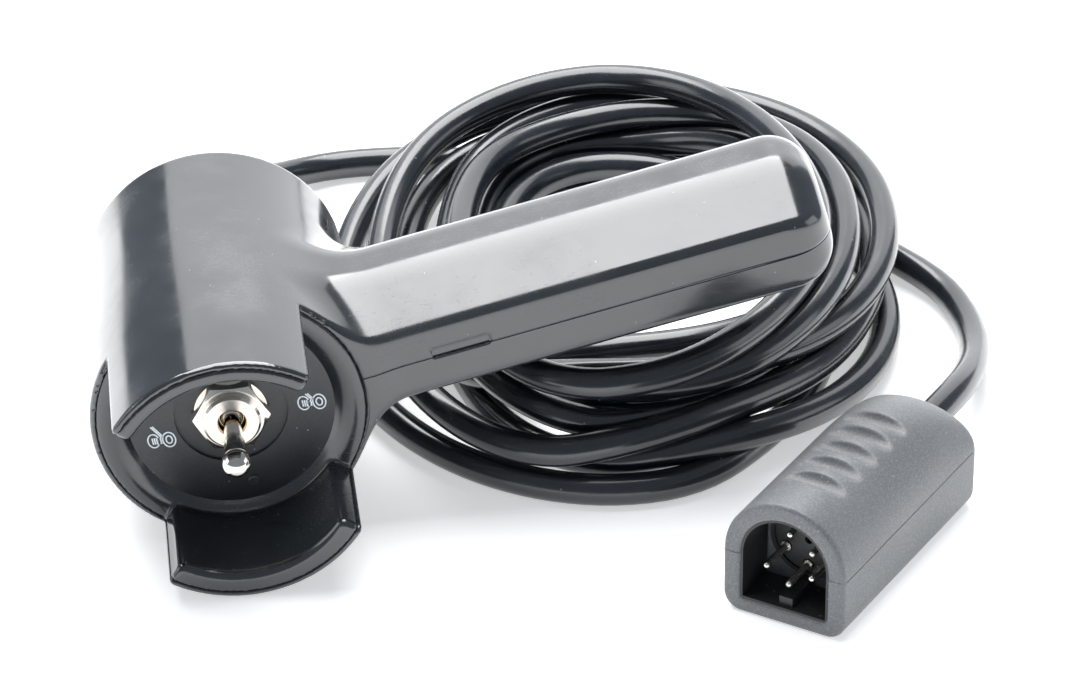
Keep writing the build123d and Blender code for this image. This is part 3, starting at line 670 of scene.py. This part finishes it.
def settled(points):
    """Moves the turns off each other, the floor and the handle until each lies on something."""
    drawn = np.array(points, float)
    line = drawn.copy()
    free = np.ones((len(line), 1))
    free[:len(LEAD_ROUTE)] = 0
    free[-len(PLUG_ROUTE):] = 0
    t = np.arange((len(line) - 1) * FINE + 1) / FINE
    low = np.minimum(t.astype(int), len(line) - 2)
    part = (t - low)[:, None]
    order = np.abs(np.arange(len(t))[:, None] - np.arange(len(t))[None, :])
    room = CORD_D + SPARE
    for _ in range(SETTLE_ROUNDS):
        dense = line[low] * (1 - part) + line[low + 1] * part
        gap = dense[:, None, :] - dense[None, :, :]
        far = np.sqrt((gap ** 2).sum(2)) + 1e-9
        close = (far < room) & (order > 4 * FINE)
        push = (np.where(close, (room - far) / far, 0)[:, :, None] * gap).sum(1)
        move = push / np.maximum(close.sum(1), 1)[:, None] * 0.55
        touched = close.any(1)[:, None]
        shift, weight = np.zeros_like(line), np.zeros((len(line), 1))
        for end, share in ((low, 1 - part), (low + 1, part)):
            np.add.at(shift, end, move * share)
            np.add.at(weight, end, share * touched)
        moved = line + free * shift / np.maximum(weight, 1) - drawn
        even = moved.copy()
        even[1:-1] = 0.5 * moved[1:-1] + 0.25 * (moved[:-2] + moved[2:])
        line = drawn + moved + 0.25 * free * (even - moved)
        line[:, 2] = np.maximum(line[:, 2], CORD_D / 2)
        under = (np.abs(line[:, 1] - HANDLE_MID) < HANDLE_WIDTH / 2 + 3) & (line[:, 0] < HANDLE_END)
        roof = HANDLE_UNDERSIDE[0] + HANDLE_UNDERSIDE[1] * line[:, 0] - CORD_D / 2 - 0.2
        line[:, 2] = np.where(under & (free[:, 0] > 0), np.minimum(line[:, 2], roof), line[:, 2])
    return [tuple(p) for p in line]


def nurbs(name, points, radius, body, slot):
    """A smooth round cord that follows the points."""
    curve = bpy.data.curves.new(name, "CURVE")
    curve.dimensions = "3D"
    curve.bevel_depth = radius
    curve.bevel_resolution = 8
    curve.resolution_u = 3
    curve.use_fill_caps = True
    spline = curve.splines.new("NURBS")
    spline.points.add(len(points) - 1)
    for point, place in zip(spline.points, points):
        point.co = (*place, 1)
    spline.order_u = 3
    spline.use_endpoint_u = True
    piece = bpy.data.objects.new(name, curve)
    bpy.context.scene.collection.objects.link(piece)
    curve.materials.append(MATERIALS[slot])
    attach(piece, body)
    return piece


cord_points = settled(LEAD_ROUTE + turn_points() + PLUG_ROUTE)
cord = nurbs("cord", [placed(*p) for p in cord_points], CORD_D / 2 * MM, "handset", "cord_sheath")
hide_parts("cord_lead", "cord_coil", "cord_run")


# ---------------------------------------------------------------- camera, lights and floor

CAMERA_AT = (-26.476, -830.305, 523.091)
CAMERA_RIGHT, CAMERA_UP = (0.99368, -0.11200, -0.00704), (0.06206, 0.49618, 0.86600)
FLOOR_REACH, FLOOR_CELLS, FLOOR_Z = 3.0, 24, -0.0001      # in metres


def camera():
    """The long lens that looks down on the remote from the front."""
    data = bpy.data.cameras.new("camera")
    data.lens = 156.82
    data.sensor_width = 36
    data.sensor_fit = "HORIZONTAL"
    data.clip_start = 0.02
    data.clip_end = 30
    eye = bpy.data.objects.new("camera", data)
    bpy.context.scene.collection.objects.link(eye)
    right, up = Vector(CAMERA_RIGHT), Vector(CAMERA_UP)
    back = right.cross(up)
    eye.matrix_world = Matrix.Translation(placed(*CAMERA_AT)) @ \
        Matrix((right, up, back)).transposed().to_4x4()
    bpy.context.scene.camera = eye


def softbox(name, place, aim, size, radiance):
    """A soft rectangular lamp of an even radiance, unseen by the camera."""
    data = bpy.data.lights.new(name, "AREA")
    data.shape = "RECTANGLE"
    data.size, data.size_y = size
    data.energy = radiance * pi * size[0] * size[1]
    lamp = bpy.data.objects.new(name, data)
    bpy.context.scene.collection.objects.link(lamp)
    lamp.location = place
    lamp.rotation_euler = (Vector(aim) - Vector(place)).to_track_quat("-Z", "Y").to_euler()
    lamp.visible_camera = False


def studio():
    """Softboxes above and behind, weaker ones at both sides, a grey room and a white floor."""
    middle = (0.0, 0.02, 0.03)
    softbox("top_box", (-0.08, 0.52, 1.25), middle, (1.3, 1.45), 6.6)
    softbox("back_box", (0.42, 1.9, 0.8), middle, (2.36, 1.6), 1.4)
    softbox("left_box", (-1.35, 0.0, 0.45), middle, (0.8, 0.7), 1.6)
    softbox("right_box", (1.35, -0.15, 0.4), middle, (0.9, 0.6), 1.3)

    world = bpy.data.worlds.new("world")
    bpy.context.scene.world = world
    world.use_nodes = True
    tree = world.node_tree
    tree.nodes["Background"].inputs["Color"].default_value = (0.24, 0.27, 0.31, 1)
    white = tree.nodes.new("ShaderNodeBackground")
    path = tree.nodes.new("ShaderNodeLightPath")
    mix = tree.nodes.new("ShaderNodeMixShader")
    tree.links.new(path.outputs["Is Camera Ray"], mix.inputs[0])
    tree.links.new(tree.nodes["Background"].outputs[0], mix.inputs[1])
    tree.links.new(white.outputs[0], mix.inputs[2])
    tree.links.new(mix.outputs[0], tree.nodes["World Output"].inputs[0])
    white.inputs["Color"].default_value = (1, 1, 1, 1)

    g = Graph("floor_white", (0.86, 0.86, 0.86), 0.9, Specular_IOR_Level=0.1,
              Emission_Color=(1, 1, 1, 1), Emission_Strength=0.5)
    g.mix_color(g.ramp(g.noise(6, 3), 0.3, 0.8, 0, 0.3), (0.84, 0.84, 0.845))
    verts = [(FLOOR_REACH * (2 * i / FLOOR_CELLS - 1), FLOOR_REACH * (2 * j / FLOOR_CELLS - 1), FLOOR_Z)
             for j in range(FLOOR_CELLS + 1) for i in range(FLOOR_CELLS + 1)]
    row = FLOOR_CELLS + 1
    faces = [(j * row + i, j * row + i + 1, (j + 1) * row + i + 1, (j + 1) * row + i)
             for j in range(FLOOR_CELLS) for i in range(FLOOR_CELLS)]
    mesh = mesh_from("floor", verts, faces, Matrix.Identity(4))
    floor = bpy.data.objects.new("floor", mesh)
    bpy.context.scene.collection.objects.link(floor)
    mesh.materials.append(g.material)


camera()
studio()
bpy.context.scene.view_settings.view_transform = "Standard"
bpy.context.scene.view_settings.look = "None"
